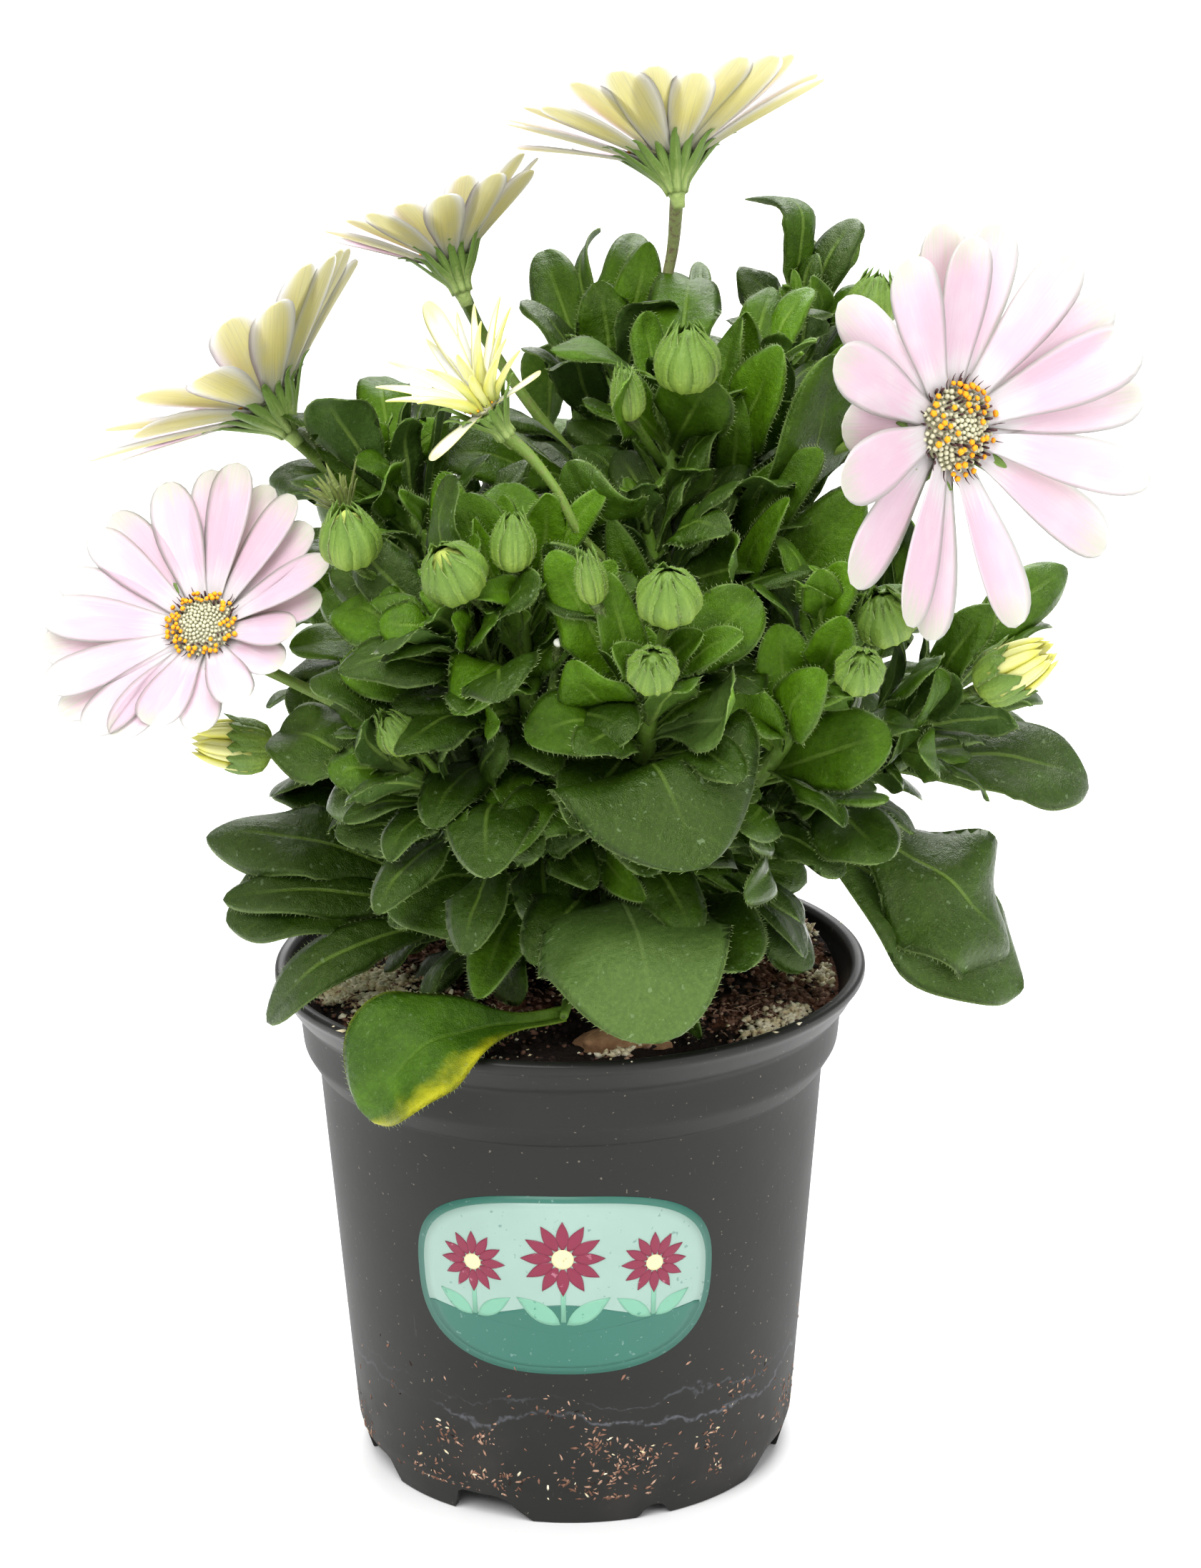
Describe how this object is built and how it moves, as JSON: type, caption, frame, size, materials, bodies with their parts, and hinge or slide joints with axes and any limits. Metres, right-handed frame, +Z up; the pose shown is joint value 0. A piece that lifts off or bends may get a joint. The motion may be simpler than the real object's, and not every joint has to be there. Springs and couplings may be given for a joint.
{
  "type": "potted osteospermum",
  "caption": "Bushy Cape daisy plant with pale pink daisy flowers, buds and spoon-shaped leaves, growing in a round black nursery pot.",
  "frame": {"origin": "middle of the box round the whole plant, on the ground under the pot", "axes": "+Z up, -Y towards the front of the plant, +X to its right"},
  "size_m": [0.2054, 0.161, 0.2921],
  "materials": {
    "pot_plastic": "satin",
    "peat": "matte",
    "woody_stem": "matte",
    "leaves": "satin",
    "bracts": "matte",
    "petals": "matte",
    "florets": "matte"
  },
  "bodies": {
    "root": {"pot": "pot_plastic", "potting_mix": "peat", "crown": "woody_stem", "flower_stalk_top": "bracts", "flower_stalk_upper_left": "bracts", "flower_stalk_left": "bracts", "flower_stalk_low_left": "bracts", "flower_stalk_right": "bracts", "flower_stalk_half_open": "bracts", "bud_top": "bracts", "bud_top_slim": "bracts", "bud_front_left": "bracts", "bud_front_left_young": "bracts", "bud_front": "bracts", "bud_front_low": "bracts", "bud_front_slim": "bracts", "bud_left": "bracts", "bud_low_left": "bracts", "bud_right": "bracts", "bud_right_front": "bracts", "bud_right_low": "bracts", "bud_right_high": "bracts", "bud_behind_right": "bracts", "bud_inner_left": "bracts", "ray_petals_top": "petals", "ray_petals_upper_left": "petals", "ray_petals_left": "petals", "ray_petals_low_left": "petals", "ray_petals_right": "petals", "ray_petals_half_open": "petals", "disc_florets_top": "florets", "disc_florets_upper_left": "florets", "disc_florets_left": "florets", "disc_florets_low_left": "florets", "disc_florets_right": "florets", "disc_florets_half_open": "florets", "shoot_top_back": "leaves", "shoot_top_centre": "leaves", "shoot_top_right": "leaves", "shoot_back_right": "leaves", "shoot_middle": "leaves", "shoot_front_left": "leaves", "shoot_upper_left": "leaves", "shoot_middle_left": "leaves", "shoot_lower_left": "leaves", "shoot_low_left": "leaves", "shoot_front_centre": "leaves", "shoot_right_front": "leaves", "shoot_right": "leaves", "shoot_right_low": "leaves", "shoot_front_rim": "leaves", "shoot_back": "leaves", "shoot_back_left": "leaves", "shoot_back_right_high": "leaves", "shoot_left_side": "leaves", "shoot_right_side": "leaves", "shoot_low_back_left": "leaves", "shoot_low_back": "leaves", "shoot_low_back_right": "leaves"}
  },
  "joints": []
}
